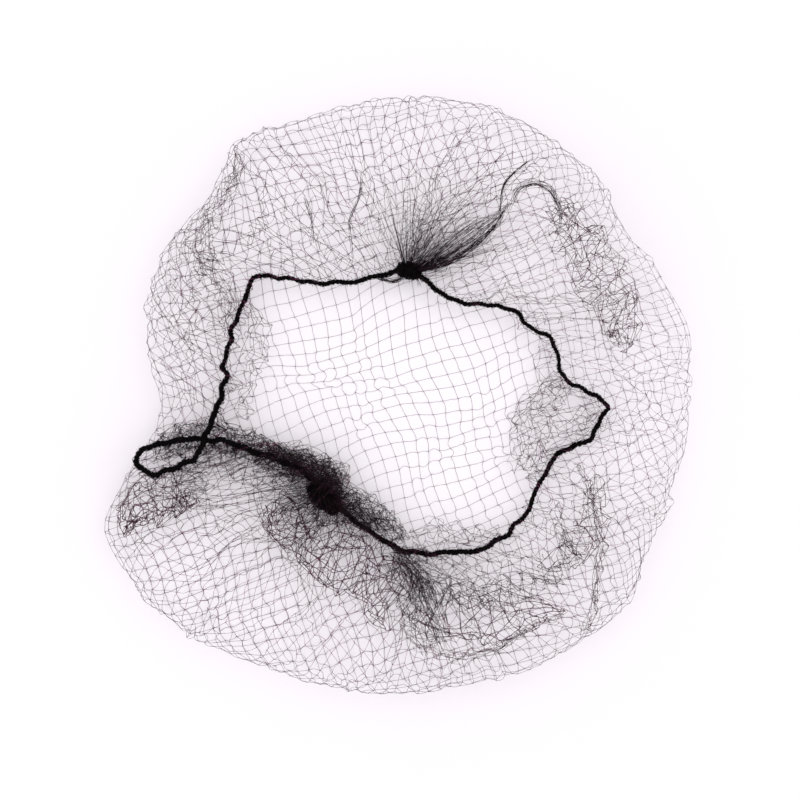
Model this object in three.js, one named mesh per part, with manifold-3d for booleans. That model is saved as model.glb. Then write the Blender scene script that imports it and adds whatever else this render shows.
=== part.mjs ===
// A hairnet lying loose on a table, mouth up: a net bag on a closed elastic band, with two gathered knots.
// Millimetres, +Z up. The origin is the middle of the outline, on the table that the crown lies on.
import * as THREE from "three";
import { mergeVertices } from "three/addons/utils/BufferGeometryUtils.js";
import Module from "manifold-3d";

const WALL = 1.2; // net wall
const GAP = 0.35; // clearance between neighbouring pieces
const BAND_RADIUS = 1.1; // covered elastic cord
const BAND_LEVEL = 8; // middle of the band above the table
const BAND_STEPS = 110;
const BAND_SIDES = 8;

// The bag: the crown lies flat, turns over at the rim and comes back on top to the band.
const RIM_REACH = 9; // half width of the turn at the rim
const MESHES = 11; // meshes across the bag
const STRAND = 9.8; // width of one strand of net
const MESH_TURN = THREE.MathUtils.degToRad(19); // how far the meshes are turned on the table

// Straight pieces to a strand, by how far out it reaches on the flat net (0 middle, 1 band edge).
const STRAND_STEPS = [
  { zone: "flat crown", reach: 0.54, steps: 1 },
  { zone: "turn at the rim", reach: 0.84, steps: 4 },
  { zone: "top", reach: 1.01, steps: 3 },
];

// Outline of the bag seen from above, and how high it stands there.
const RIM = [
  { deg: 0, reach: 101.7, crest: 19 },
  { deg: 15, reach: 103, crest: 20 },
  { deg: 33, reach: 98, crest: 22 },
  { deg: 47, reach: 102, crest: 22 },
  { deg: 75, reach: 105.6, crest: 21 },
  { deg: 105, reach: 102.6, crest: 21 },
  { deg: 121, reach: 105, crest: 19 },
  { deg: 134, reach: 96, crest: 19 },
  { deg: 163, reach: 93, crest: 18 },
  { deg: 180, reach: 87, crest: 14 },
  { deg: 190, reach: 88, crest: 12 },
  { deg: 202, reach: 109.9, crest: 14 },
  { deg: 215, reach: 112, crest: 18 },
  { deg: 240, reach: 106, crest: 20 },
  { deg: 260, reach: 104.5, crest: 21 },
  { deg: 285, reach: 105, crest: 22 },
  { deg: 314, reach: 108, crest: 21 },
  { deg: 335, reach: 102, crest: 20 },
];

// Route of the band, clockwise from the upper knot, with the small twisted loop at the left.
const BAND_ROUTE = [
  { x: 3.5, y: 43.5, z: BAND_LEVEL },
  { x: 14, y: 36, z: BAND_LEVEL },
  { x: 25, y: 32.8, z: BAND_LEVEL },
  { x: 38, y: 30.5, z: BAND_LEVEL },
  { x: 46, y: 24, z: BAND_LEVEL },
  { x: 54, y: 18.5, z: BAND_LEVEL },
  { x: 57.5, y: 6.5, z: BAND_LEVEL },
  { x: 66, y: 1, z: BAND_LEVEL },
  { x: 73, y: -3.5, z: BAND_LEVEL },
  { x: 70.5, y: -9.5, z: BAND_LEVEL },
  { x: 66, y: -16, z: BAND_LEVEL },
  { x: 57, y: -20, z: BAND_LEVEL },
  { x: 51.5, y: -27, z: BAND_LEVEL },
  { x: 43.5, y: -43, z: BAND_LEVEL },
  { x: 35.5, y: -50.5, z: BAND_LEVEL },
  { x: 27.5, y: -54.7, z: BAND_LEVEL },
  { x: 17, y: -55.3, z: BAND_LEVEL },
  { x: 5, y: -55.5, z: BAND_LEVEL },
  { x: -5, y: -51.5, z: BAND_LEVEL },
  { x: -17, y: -43, z: BAND_LEVEL },
  { x: -26, y: -36.5, z: BAND_LEVEL },
  { x: -34, y: -26.5, z: BAND_LEVEL },
  { x: -47, y: -21.3, z: 8.4 },
  { x: -60, y: -16.6, z: 10.6 },
  { x: -72, y: -15.6, z: 14.6 },
  { x: -82, y: -17, z: 17.6 },
  { x: -89, y: -19.3, z: 19.3 },
  { x: -91.2, y: -23.4, z: 19.5 },
  { x: -87.6, y: -27, z: 19.5 },
  { x: -79, y: -26, z: 19 },
  { x: -70.5, y: -21.5, z: 18.8 },
  { x: -67, y: -14, z: 17.4 },
  { x: -63, y: -6, z: 12 },
  { x: -62.5, y: 3.5, z: 8.6 },
  { x: -57.8, y: 16.5, z: BAND_LEVEL },
  { x: -54, y: 34, z: BAND_LEVEL },
  { x: -49.5, y: 41.5, z: BAND_LEVEL },
  { x: -39, y: 40.5, z: BAND_LEVEL },
  { x: -24, y: 39, z: BAND_LEVEL },
  { x: -9, y: 41, z: BAND_LEVEL },
];

// Knots that the ends of the net are gathered into, each at a row of the band's route.
const KNOTS = [
  { name: "upper_knot", row: 0, length: 11, width: 6.4, height: 6.2, ribs: 9, draw: 0.62, spread: 42 },
  { name: "lower_knot", row: 20, length: 18, width: 9.6, height: 8.6, ribs: 11, draw: 0.6, spread: 46 },
];
const EDGE_SLACK = 0.8; // the net's straight-sided edge stands this much further off the curved band
const CORNER = { deg: -2.7, spread: 5, clear: 0.8 }; // and more at the band's sharp corner at the right
const KNOT_FLUTE = 0.1; // depth of a knot's ribs, as a share of its size

// Folds on top of the bag: a ridge along the rim direction, placed between rim (0) and band (1).
const FOLDS = [
  { name: "pleat at the upper knot", deg: 58, spread: 12, at: 0.6, width: 0.2, height: 4.5 },
  { name: "crumple at the right", deg: 18, spread: 24, at: 0.55, width: 0.2, height: 3.5 },
  { name: "flap at the bottom", deg: 284, spread: 32, at: 0.4, width: 0.16, height: 4.5 },
  { name: "crease at the left", deg: 152, spread: 18, at: 0.5, width: 0.2, height: 3 },
];
const RUFFLES = 26; // waves of the gathered edge round the band
const RUFFLE_HEIGHT = 0.9;

const NET_COLOUR = 0x17131a;
const BAND_COLOUR = 0x0b090b;

const SLOPE_STEP = 1e-3;
const TURN = 2 * Math.PI;
const RAD = Math.PI / 180;
const wrap = (angle) => angle - TURN * Math.round(angle / TURN);
const bell = (x) => Math.exp(-x * x);
const ease = (x) => x * x * (3 - 2 * x);

// A smooth closed curve through one column of a table whose rows hold angles in degrees.
function roundTable(rows, column) {
  const at = (i) => rows[((i % rows.length) + rows.length) % rows.length];
  const deg = (i) => at(i).deg + 360 * Math.floor(i / rows.length);
  return (angle) => {
    const d = ((((angle / RAD - rows[0].deg) % 360) + 360) % 360) + rows[0].deg;
    let i = rows.length - 1;
    while (deg(i) > d) i -= 1;
    const span = deg(i + 1) - deg(i);
    const t = (d - deg(i)) / span;
    const slope = (k) => ((at(k + 1)[column] - at(k - 1)[column]) / (deg(k + 1) - deg(k - 1))) * span;
    const [p, q] = [at(i)[column], at(i + 1)[column]];
    const h = ease(t);
    return p + (q - p) * h + slope(i) * t * (1 - t) ** 2 - slope(i + 1) * t * t * (1 - t);
  };
}

const rimReach = roundTable(RIM, "reach");
const rimCrest = roundTable(RIM, "crest");

const bandCurve = new THREE.CatmullRomCurve3(
  BAND_ROUTE.map((p) => new THREE.Vector3(p.x, p.y, p.z)),
  true,
  "centripetal",
);

// The band's main ring as distance from the origin by angle; the twisted loop lies outside it.
const ringTable = (() => {
  const inLoop = (p) => p.x < -66.5;
  const rows = BAND_ROUTE.filter((p) => !inLoop(p)).map((p) => ({
    deg: (Math.atan2(p.y, p.x) / RAD + 360) % 360,
    ring: Math.hypot(p.x, p.y),
  }));
  return rows.sort((a, b) => a.deg - b.deg);
})();
const ringRadius = roundTable(ringTable, "ring");

function knotFrame(knot) {
  const middle = bandCurve.getPoint(knot.row / BAND_ROUTE.length);
  const along = bandCurve.getTangent(knot.row / BAND_ROUTE.length);
  const angle = Math.atan2(middle.y, middle.x);
  return { middle, along, angle };
}

// Where the edge of the net meets the band: the net is drawn together towards each knot.
function bandEdge(angle) {
  let drawn = angle;
  for (const knot of KNOTS) {
    const off = wrap(angle - knotFrame(knot).angle);
    drawn -= knot.draw * off * bell(off / (knot.spread * RAD));
  }
  let clear = BAND_RADIUS + GAP + EDGE_SLACK;
  for (const knot of KNOTS) {
    const off = wrap(drawn - knotFrame(knot).angle);
    clear += (knot.width / 2) * bell((off * ringRadius(drawn)) / (0.75 * knot.length));
  }
  clear += CORNER.clear * bell(wrap(drawn - CORNER.deg * RAD) / (CORNER.spread * RAD));
  const ring = (a) => new THREE.Vector3(ringRadius(a) * Math.cos(a), ringRadius(a) * Math.sin(a), BAND_LEVEL);
  const along = ring(drawn + SLOPE_STEP).sub(ring(drawn - SLOPE_STEP)).normalize();
  return ring(drawn).add(new THREE.Vector3(along.y, -along.x, 0).multiplyScalar(clear));
}

// Height of the folds and of the gathered edge at a point on top of the bag.
function relief(angle, share) {
  let height = RUFFLE_HEIGHT * share * share * Math.cos(RUFFLES * angle);
  for (const fold of FOLDS) {
    const off = wrap(angle - fold.deg * RAD) / (fold.spread * RAD);
    height += fold.height * bell(off) * bell((share - fold.at) / fold.width);
  }
  return height;
}

// The outer face of the net over the flat unit disc: middle of the crown at 0, band edge at 1.
function netPoint(x, y) {
  const angle = Math.atan2(y, x);
  const reach = rimReach(angle) - RIM_REACH;
  const crest = rimCrest(angle);
  const turnLength = Math.PI * Math.sqrt((RIM_REACH ** 2 + (crest / 2) ** 2) / 2);
  const edge = bandEdge(angle);
  const out = new THREE.Vector3(Math.cos(angle), Math.sin(angle), 0);
  const top = out.clone().multiplyScalar(reach).setZ(crest);
  const topLength = top.distanceTo(edge);
  const along = Math.hypot(x, y) * (reach + turnLength + topLength);
  if (along <= reach) return out.multiplyScalar(along);
  if (along <= reach + turnLength) {
    const turn = (Math.PI * (along - reach)) / turnLength;
    const r = reach + RIM_REACH * Math.sin(turn);
    return out.multiplyScalar(r).setZ((crest / 2) * (1 - Math.cos(turn)));
  }
  const share = (along - reach - turnLength) / topLength;
  const point = top.lerp(edge, share);
  point.z = crest + (edge.z - crest) * ease(Math.min(share, 1)) + relief(angle, share);
  return point;
}

// A square of meshes spread over the unit disc, turned as the net lies.
function discPoint(u, v) {
  const x = u * Math.sqrt(1 - (v * v) / 2);
  const y = v * Math.sqrt(1 - (u * u) / 2);
  const [c, s] = [Math.cos(MESH_TURN), Math.sin(MESH_TURN)];
  return [c * x - s * y, s * x + c * y];
}

function netWall(u, v) {
  const [x, y] = discPoint(u, v);
  const outer = netPoint(x, y);
  const dx = netPoint(x + SLOPE_STEP, y).sub(netPoint(x - SLOPE_STEP, y));
  const dy = netPoint(x, y + SLOPE_STEP).sub(netPoint(x, y - SLOPE_STEP));
  const inward = dx.cross(dy).normalize();
  return { outer, inner: outer.clone().addScaledVector(inward, WALL) };
}

function pushQuad(list, a, b, c, d) {
  for (const p of [a, b, c, a, c, d]) list.push(p.x, p.y, p.z);
}

function closedGeometry(list) {
  const made = new THREE.BufferGeometry();
  made.setAttribute("position", new THREE.Float32BufferAttribute(list, 3));
  return mergeVertices(made, 1e-3);
}

// One side of a mesh: the half strand between the mesh's outer line and its hole.
function pushStrand(list, from, to, fromHole, toHole, atEdge) {
  const far = Math.max(...[from, to].map(([u, v]) => Math.hypot(...discPoint(u, v))));
  const { steps } = STRAND_STEPS.find((row) => far < row.reach);
  const mix = (p, q, t) => netWall(p[0] + (q[0] - p[0]) * t, p[1] + (q[1] - p[1]) * t);
  for (let i = 0; i < steps; i += 1) {
    const [t0, t1] = [i / steps, (i + 1) / steps];
    const [a, b] = [mix(from, to, t0), mix(from, to, t1)];
    const [d, c] = [mix(fromHole, toHole, t0), mix(fromHole, toHole, t1)];
    pushQuad(list, d.outer, c.outer, b.outer, a.outer);
    pushQuad(list, a.inner, b.inner, c.inner, d.inner);
    pushQuad(list, c.outer, d.outer, d.inner, c.inner);
    if (atEdge) pushQuad(list, a.outer, b.outer, b.inner, a.inner);
  }
}

function netGeometry() {
  const list = [];
  const size = 2 / MESHES;
  const flatRadius = 150;
  const inset = STRAND / 2 / flatRadius;
  for (let i = 0; i < MESHES; i += 1)
    for (let j = 0; j < MESHES; j += 1) {
      const corner = (du, dv, shift) => [
        -1 + (i + du) * size + (du ? -shift : shift),
        -1 + (j + dv) * size + (dv ? -shift : shift),
      ];
      const round = [[0, 0], [1, 0], [1, 1], [0, 1]];
      const atEdge = [j === 0, i === MESHES - 1, j === MESHES - 1, i === 0];
      round.forEach((here, k) => {
        const next = round[(k + 1) % 4];
        pushStrand(
          list,
          corner(...here, 0),
          corner(...next, 0),
          corner(...here, inset),
          corner(...next, inset),
          atEdge[k],
        );
      });
    }
  return closedGeometry(list);
}

function positionOnly(geometry) {
  geometry.deleteAttribute("normal");
  geometry.deleteAttribute("uv");
  return mergeVertices(geometry, 1e-3);
}

function bandGeometry(radius) {
  return positionOnly(new THREE.TubeGeometry(bandCurve, BAND_STEPS, radius, BAND_SIDES, true));
}

const wasm = await Module();
wasm.setup();

function solidOf(geometry) {
  return new wasm.Manifold(
    new wasm.Mesh({
      numProp: 3,
      vertProperties: geometry.attributes.position.array,
      triVerts: new Uint32Array(geometry.index.array),
    }),
  );
}

function geometryOf(solid) {
  const mesh = solid.getMesh();
  const made = new THREE.BufferGeometry();
  made.setAttribute("position", new THREE.BufferAttribute(mesh.vertProperties, 3));
  made.setIndex(new THREE.BufferAttribute(mesh.triVerts, 1));
  return made;
}

// A bunch of gathered net, ribbed along the band, with a channel that the band runs through.
function knotGeometry(knot) {
  const ball = positionOnly(new THREE.SphereGeometry(0.5, knot.ribs * 2, 10));
  const points = ball.attributes.position;
  const { middle, along } = knotFrame(knot);
  const place = new THREE.Matrix4().makeRotationZ(Math.atan2(along.y, along.x)).setPosition(middle);
  for (let i = 0; i < points.count; i += 1) {
    const p = new THREE.Vector3().fromBufferAttribute(points, i);
    const rib = 1 + KNOT_FLUTE * Math.cos(knot.ribs * Math.atan2(p.z, p.x));
    const shaped = new THREE.Vector3(p.y * knot.length, -p.x * rib * knot.width, p.z * rib * knot.height);
    shaped.applyMatrix4(place);
    points.setXYZ(i, shaped.x, shaped.y, shaped.z);
  }
  const bunch = solidOf(ball);
  const channel = solidOf(bandGeometry(BAND_RADIUS + GAP));
  return geometryOf(bunch.subtract(channel));
}

const netMaterial = new THREE.MeshStandardMaterial({ color: NET_COLOUR, roughness: 0.75, metalness: 0 });
const bandMaterial = new THREE.MeshStandardMaterial({ color: BAND_COLOUR, roughness: 0.85, metalness: 0 });

function piece(name, geometry, material) {
  const mesh = new THREE.Mesh(geometry, material);
  mesh.name = name;
  return mesh;
}

const hairnet = new THREE.Group();
hairnet.add(piece("net_bag", netGeometry(), netMaterial));
hairnet.add(piece("elastic_band", bandGeometry(BAND_RADIUS), bandMaterial));
for (const knot of KNOTS) hairnet.add(piece(knot.name, knotGeometry(knot), netMaterial));

export default hairnet;
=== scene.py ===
"""A fine black hairnet lying loose on a pale table, mouth up.

The net is made thread by thread: a square lattice of meshes is laid over the bag's form, folded and
gathered as it lies, relaxed so that its threads nearly take their own length, and spun into threads. The
bag's form, the band's route and the knots keep close to the solids that they replace.
"""

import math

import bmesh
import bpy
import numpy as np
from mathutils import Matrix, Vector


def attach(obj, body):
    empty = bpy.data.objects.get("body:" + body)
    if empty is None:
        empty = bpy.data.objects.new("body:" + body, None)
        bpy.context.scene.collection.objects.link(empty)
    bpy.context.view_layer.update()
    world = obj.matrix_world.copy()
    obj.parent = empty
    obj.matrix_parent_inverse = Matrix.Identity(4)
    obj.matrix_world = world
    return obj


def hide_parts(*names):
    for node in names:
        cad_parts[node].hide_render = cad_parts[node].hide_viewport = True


bl_info = {
    "name": "Hairnet",
    "version": (1, 0, 0),
    "blender": (4, 5, 0),
    "location": "View3D > Sidebar > Hairnet",
    "description": "Builds a hairnet of threads on a closed elastic band",
    "category": "Object",
}

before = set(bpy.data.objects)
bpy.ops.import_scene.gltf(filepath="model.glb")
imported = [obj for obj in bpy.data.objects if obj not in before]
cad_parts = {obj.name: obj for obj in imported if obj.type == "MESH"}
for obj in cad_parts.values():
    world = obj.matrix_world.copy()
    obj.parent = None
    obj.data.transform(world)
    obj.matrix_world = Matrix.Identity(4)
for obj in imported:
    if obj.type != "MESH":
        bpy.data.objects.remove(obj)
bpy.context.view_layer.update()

MM = 0.001
DEG = math.pi / 180
FULL_TURN = 2 * math.pi
BODY = "root"
TINY = 1e-9  # keeps a length from being nothing


def named_rows(columns, *rows):
    """The rows of a table, each by the names of its columns."""
    names = columns.split()
    return [dict(zip(names, row)) for row in rows]


# The bag's outline from above and how high it stands there, in degrees and millimetres.
RIM = named_rows(
    "deg reach crest",
    (0, 101.7, 19),
    (15, 103, 20),
    (33, 98, 22),
    (47, 102, 22),
    (75, 105.6, 21),
    (105, 102.6, 21),
    (121, 105, 19),
    (134, 96, 19),
    (146, 96.8, 19),
    (163, 93, 18),
    (180, 85.5, 14),
    (189, 86, 12),
    (195, 100.5, 12),
    (203, 112.3, 14),
    (214, 115.4, 18),
    (240, 107.8, 20),
    (260, 104.5, 21),
    (285, 105, 22),
    (314, 108, 21),
    (335, 102, 20),
)
RIM_TURN = 9.0  # half width of the turn at the rim
BAND_LEVEL = 8.0  # middle of the band above the table
LOWEST = 0.1  # no thread of the net runs lower
HIGHEST = 24.0  # no crossing of the net lies higher
FLAT_REACH = 330  # how far the flat lattice is drawn from its middle
FLAT_WAVES = ((1.5, 14), (1.2, 4.5), (0.4, 2.2))  # sizes and wavelengths of its wander
FLAT_STRAY = 0.18  # stray of each single crossing in it
TOP_WAVES = ((1.5, 8), (0.6, 3.5))  # sizes and wavelengths of the folded net's stray
SINK = 0.25  # how far the net inside the band hangs down, for each length inwards
LAYER_RISE = 1.1  # height that each layer of the top adds
LAYER_TURN = 0.12  # share of the way to the band over which a layer turns into the next
FOLD_DEPTH = 0.25  # share of the way that a fold reaches to count as a whole layer
TUCKED_BULGE = 0.8  # share of the bulge that tucked net comes back to
SPARE = 1.03  # length of thread between two crossings, for each length of mesh
ROUND = 0.35  # how far a thread rounds off its bends at the crossings, as a share
CRUMPLE = 0.7  # stray of the crossings where the net is squeezed, as a share of the mesh
MOST_SQUEEZED = 0.8  # share of the mesh past which more squeezing adds no stray
STRETCHED_AT = 10 * DEG  # direction in which the net's threads are drawn thin
STRETCHED_SPREAD = 50 * DEG
STRETCHED = 0.22  # how much thinner they are there, as a share
CROWN_EDGE = 45  # distance from the middle within which the crown's threads are thinnest
CROWN_FADE = 45  # distance over which they then take their full width
BEAD = 1.9  # half width of a tied crossing, for each half width of its thread
# Threads of layered and gathered net take darker colours than single threads: painted shade among their
# layers.
LAYERED = 2.6  # layers of net past which its threads lie in folds
GATHERED = 6.0  # layers of net past which it counts as gathered

# Route of the band, clockwise from the upper knot, with the small twisted loop at the left.
BAND_ROUTE = [
    (3.5, 43.5, BAND_LEVEL),
    (16.3, 34.6, BAND_LEVEL),
    (25, 31.8, BAND_LEVEL),
    (37.3, 30.7, BAND_LEVEL),
    (46, 24, BAND_LEVEL),
    (54, 18.5, BAND_LEVEL),
    (57.5, 6.5, BAND_LEVEL),
    (66, 1, BAND_LEVEL),
    (73, -3.5, BAND_LEVEL),
    (70.5, -9.5, BAND_LEVEL),
    (66, -16, BAND_LEVEL),
    (57, -20, BAND_LEVEL),
    (51.5, -27, BAND_LEVEL),
    (43.5, -43, BAND_LEVEL),
    (35.5, -50.5, BAND_LEVEL),
    (27.5, -54.7, BAND_LEVEL),
    (17, -55.3, BAND_LEVEL),
    (5, -55.5, BAND_LEVEL),
    (-5, -51.5, BAND_LEVEL),
    (-17, -43, BAND_LEVEL),
    (-26, -36.5, BAND_LEVEL),
    (-34, -26.5, 10.5),
    (-47, -21.3, 12.4),
    (-60, -16.6, 13.2),
    (-72, -15.6, 14.6),
    (-82, -17, 17.6),
    (-89, -19.3, 19.3),
    (-91.2, -23.4, 19.5),
    (-87.6, -27, 19.5),
    (-79, -26, 19),
    (-70.5, -21.5, 18.8),
    (-67, -14, 17.4),
    (-64, -5.6, 12),
    (-61.3, 3.5, 8.6),
    (-61, 12.5, BAND_LEVEL),
    (-54, 34, BAND_LEVEL),
    (-49.5, 41.5, BAND_LEVEL),
    (-39, 40.5, BAND_LEVEL),
    (-24, 39, BAND_LEVEL),
    (-9, 41, BAND_LEVEL),
]
LOOP_LEFT_OF = -66.5  # the twisted loop lies left of this, outside the band's main ring
BAND_STEPS = 40  # points of the band's path to each row of its route
BAND_STEP = 0.3  # distance of the points that the band is spun along

# How wide the band is along its route, as a share of its full width: thin where it is stretched.
BAND_WIDTHS = named_rows(
    "row share",
    (0, 1.0),
    (1.5, 0.8),
    (6, 0.74),
    (9, 0.84),
    (11, 0.95),
    (12.5, 0.8),
    (14, 0.95),
    (32, 1.02),
    (34, 0.9),
    (37, 0.78),
    (38.5, 0.85),
    (40, 1.0),
)

# Knots that the net is gathered into, each at a row of the band's route: their sizes, the threads wound
# round them, and the tufts that leave them, out into the net ("tufts", to the length "fan") and back over
# the band ("back_tufts", to "back"). Every other tuft out into the net leans by about "skew" and the rest
# from "least" on, in radians. All lie in that many "pleats" to a radian, or in none.
KNOTS = named_rows(
    "node row length width height threads tufts fan skew back_tufts back pleats least",
    ("upper_knot", 0, 11, 6.4, 6.2, 30, 210, 33, 0.95, 16, 3, 0, -0.55),
    ("lower_knot", 20, 16.5, 8.2, 8, 44, 95, 16, 0.5, 165, 4.5, 5, -0.8),
)

# Where the net is drawn straight towards a knot: the middle of the place in plan and how far it reaches.
TAUT = named_rows(
    "x y reach",
    (5, 46, 36),
    (-44, -38, 12),
)
TAUT_SHARE = 0.85  # share of the net's slack that is gone in the middle of such a place

# Lines across the crown along which the slack net is drawn together: a point, a direction in degrees, the
# reach along it, the width to each side and the share of the width that is drawn in.
PINCHES = named_rows(
    "x y turn reach width draw",
    (-24, 6, -8, 45, 21, 0.4),
    (-9, -11, -17, 13, 6, 0.7),
    (22, 12, 22, 30, 14, 0.3),
)

# How the net's edge is drawn together: a direction on the flat net and where it reaches the band. Between
# two knots the net lies open. Where the band's direction goes back, the net is doubled in a wide pleat.
GATHERS = named_rows(
    "net band",
    (0, 2),
    (24, 45),
    (44, 80),
    (102, 90),
    (150, 148),
    (180, 184),
    (198, 204),
    (210, 223),
    (246, 244),
    (268, 280),
    (290, 266),
    (316, 300),
    (344, 337),
)

# Folds of the top by direction, as shares of the way from the rim (0) to the band (1): the net goes in to
# "inner", back out to "outer" and in again. "bulge" of it lies inside the band, "tuck" is drawn back out.
FOLDS = named_rows(
    "deg outer inner bulge tuck",
    (0, 0.5, 0.5, 0.5, 0),
    (10, 0.5, 0.5, 0.2, 0),
    (22, 0.5, 0.5, 0, 0),
    (110, 0.5, 0.5, 0, 0),
    (122, 0.4, 0.4, 0, 0),
    (130, 0.25, 0.35, 0, 0),
    (138, 0.1, 0.45, 0, 0),
    (148, 0.1, 0.45, 0.1, 0),
    (158, 0.15, 0.55, 0.2, 0),
    (168, 0.4, 0.5, 0.35, 0),
    (180, 0.5, 0.55, 0.4, 0),
    (190, 0.4, 0.7, 0.4, 0.1),
    (197, 0.15, 0.6, 0.3, 0.2),
    (204, 0.15, 0.55, 0.25, 0.2),
    (209, 0.38, 0.44, 0.25, 0.2),
    (214, 0.6, 0.6, 0.2, 0.15),
    (219, 0.78, 0.84, 0.2, 0.1),
    (238, 0.9, 0.95, 0.1, 0),
    (268, 0.8, 0.85, 0.1, 0),
    (281, 0.7, 0.8, 0, 0),
    (292, 0.5, 0.7, 0, 0),
    (301, 0.35, 0.65, 0, 0),
    (310, 0.3, 0.6, 0, 0),
    (318, 0.3, 0.6, 0, 0),
    (326, 0.4, 0.6, 0.05, 0),
    (336, 0.5, 0.6, 0.15, 0),
    (344, 0.5, 0.5, 0.25, 0),
    (352, 0.5, 0.5, 0.5, 0),
)

# Creases where folded net is bunched together, as points in plan along each. "loose" is how far its
# threads stray, "belly" how far they spread to the left of the line between its ends.
CREASES = named_rows(
    "name threads loose belly points",
    (
        "pleat at the upper knot", 90, 0.5, 9,
        [(5, 43.5), (12, 43.8), (20, 46.8), (28, 52.6), (35, 60), (38, 66)],
    ),
    ("hook of that pleat", 20, 0.35, 0, [(35, 63), (36, 73), (41, 78), (47, 82)]),
    (
        "arch at the upper right", 22, 0.8, 0,
        [(38, 64), (42, 72), (48, 73), (53, 71), (56, 63), (56, 57)],
    ),
    ("tail at the upper knot", 46, 0.5, 0, [(-7, 40.5), (-1.5, 39.5), (3, 42)]),
    ("fold down the flap", 24, 0.9, 7, [(-3, -55), (4, -66), (9, -76), (16, -89)]),
    (
        "bunched crease at the lower right", 6, 1.3, 0,
        [(62, -25), (66.5, -31), (68, -39), (70.5, -53), (68.5, -64), (67.5, -74), (64.5, -84)],
    ),
    (
        "tail at the lower knot", 16, 0.4, 0,
        [(-49.5, -20), (-46, -25), (-41, -28), (-35.5, -28), (-31, -30.5)],
    ),
    ("short crease on the lobe", 8, 0.8, 0, [(-83.5, -26.5), (-86, -32.5), (-87, -38.5)]),
    ("crease at the top", 11, 0.5, 0, [(-13, 77.5), (-14, 68.5), (-17.5, 61.5), (-16, 45)]),
    ("short crease at the top", 8, 0.5, 0, [(-33, 69), (-30.5, 61.5), (-30, 52.5)]),
    (
        "hem of the flap", 9, 0.9, 0,
        [(11, -87), (17, -90.5), (25, -90.5), (35, -87.5), (46, -80.5), (56, -75.5)],
    ),
    (
        "edge of the net under the lower knot", 4, 1.0, 0,
        [(-52, -27), (-50.5, -38), (-47, -47), (-40.5, -56), (-30, -65), (-15, -73)],
    ),
    (
        "edge of the frill", 7, 0.9, 0,
        [(-39, -19), (-30, -18.4), (-23.5, -23.5), (-20, -31), (-12.5, -34.8), (-6, -39.5), (4, -50)],
    ),
    ("first pleat of the frill", 8, 0.7, 0, [(-30.5, -32), (-32.5, -26), (-35.5, -20)]),
    ("second pleat of the frill", 8, 0.7, 0, [(-29.5, -31.5), (-30, -25.5), (-31, -19.5)]),
    ("third pleat of the frill", 8, 0.7, 0, [(-28.5, -31.5), (-27, -26.5), (-26, -21)]),
    ("fourth pleat of the frill", 8, 0.7, 0, [(-27.5, -32), (-24.5, -28.5), (-22, -25)]),
    ("fifth pleat of the frill", 8, 0.7, 0, [(-26.5, -33), (-23, -31), (-19.5, -30)]),
)

# Ruffles: strips of net that lie folded over on themselves along a line, as points in plan with the half
# width there, those bunched and painted dark with painted shade between their threads, and then those in
# a few light layers, painted somewhat darker with painted shade among the layers. "layers" is how often
# the net crosses the strip, "strands" how many threads lie side by side in it, "thick" how much thicker
# they are where threads lie together, "along" and "across" how much net there is to its length and width,
# "turn" how its threads lie to the line, in degrees, and "stray" how far its crossings are crumpled.
DARK_RUFFLES = named_rows(
    "name layers strands thick along across turn stray points",
    (
        "upper lobe of the frill", 3, 1, 1, 1.6, 1.5, 30, 0.6,
        [(-39, -20.3, 2), (-33.5, -22.6, 3.6), (-28.5, -26.8, 4), (-25.5, -31.5, 3)],
    ),
    (
        "dark foot of the frill", 3, 1, 1, 1.5, 1.5, 25, 0.6,
        [(-23, -36.5, 2.5), (-16, -40.5, 3.6), (-9, -45.5, 2.6)],
    ),
    (
        "frill right of the lower knot", 4, 1, 1, 1.7, 1.7, 35, 0.6,
        [(-25, -37, 3), (-18, -39, 5.5), (-11, -43, 5), (-5, -48, 3)],
    ),
    (
        "dark roll before the lower knot", 1, 1, 1, 1.6, 1.6, 30, 0.6,
        [(-54, -17.5, 1.2), (-46, -20.5, 2.2), (-37, -25, 3), (-30, -30.5, 4)],
    ),
    (
        "bunch at the lower knot", 2, 1, 1, 1.6, 1.6, 15, 0.9,
        [(-40, -24.5, 3), (-30, -31.5, 4.5), (-22, -38, 5.5), (-14, -44, 5), (-7, -49, 2.5)],
    ),
    (
        "dark fold of the flap", 3.4, 1, 1, 1.1, 1.3, 45, 0.7,
        [(-5, -56, 4.5), (1, -61, 6), (5.5, -71, 8), (8, -80, 8), (13, -88, 5)],
    ),
    (
        "ruffle along the twisted loop", 4.4, 2, 1, 1.5, 1.5, 25, 0.9,
        [
            (-85, -19.5, 3), (-79, -17, 5.2), (-71, -15.2, 6), (-57, -15.4, 5.2), (-44, -20.5, 3.4),
            (-34, -26.5, 2),
        ],
    ),
    (
        "frill inside the lower knot", 4, 1, 1, 1.7, 1.5, 40, 0.8,
        [
            (-45, -19.5, 2), (-39, -21.5, 2.5), (-34, -23.3, 3.6), (-30, -26.3, 4.2), (-24.5, -32.8, 4),
            (-17.5, -38, 4.8), (-12, -39, 5.8), (-8, -43, 4.4), (-2.5, -47, 3.4), (2, -51, 2),
        ],
    ),
)

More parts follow.
